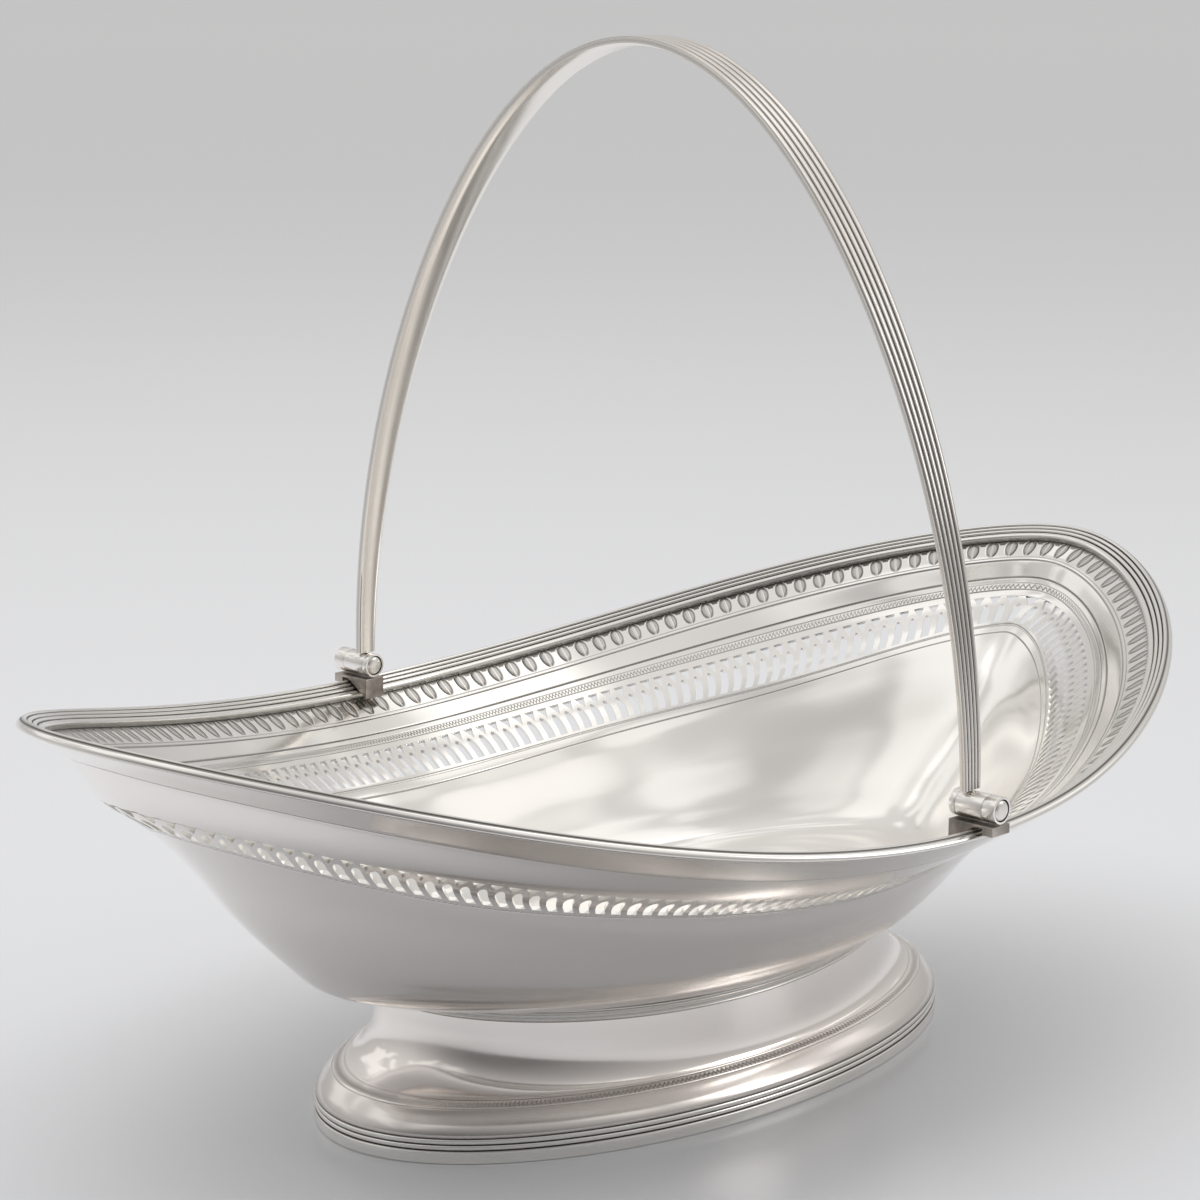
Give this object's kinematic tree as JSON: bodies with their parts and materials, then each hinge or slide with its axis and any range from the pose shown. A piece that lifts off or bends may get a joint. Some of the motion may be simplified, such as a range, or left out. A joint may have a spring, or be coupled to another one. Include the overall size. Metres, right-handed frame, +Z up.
{
  "type": "basket",
  "caption": "Oval pedestal basket of pierced sheet silver with a reeded rim and one reeded strap handle that swings on two side hinges.",
  "frame": {"origin": "centre of the underside of the foot, on the table", "axes": "+Z up; X along the long axis of the oval; Y along the hinge line, from the front hinge (-Y) to the back hinge (+Y)"},
  "size_m": [0.3572, 0.2258, 0.2553],
  "materials": {
    "polished_silver": "polished",
    "reeded_silver": "polished, darkened in the grooves",
    "pin_silver": "worn"
  },
  "bodies": {
    "basket": {"bowl": "polished_silver", "rim_moulding": "reeded_silver", "foot_band": "polished_silver", "foot_moulding": "reeded_silver", "foot_spool": "polished_silver", "foot_collar": "polished_silver", "hinge_saddle_front": "polished_silver", "hinge_inner_knuckle_front": "polished_silver", "hinge_outer_knuckle_front": "polished_silver", "hinge_pin_front": "pin_silver", "hinge_saddle_back": "polished_silver", "hinge_inner_knuckle_back": "polished_silver", "hinge_outer_knuckle_back": "polished_silver", "hinge_pin_back": "pin_silver"},
    "handle": {"handle_bow": "reeded_silver", "handle_knuckle_front": "polished_silver", "handle_knuckle_back": "polished_silver"}
  },
  "joints": [
    {"name": "handle_swing", "type": "hinge", "parent": "basket", "child": "handle", "pos_m": [0, 0, 0.0846], "axis": [0, 1, 0], "range_deg": [-78, 78]}
  ]
}
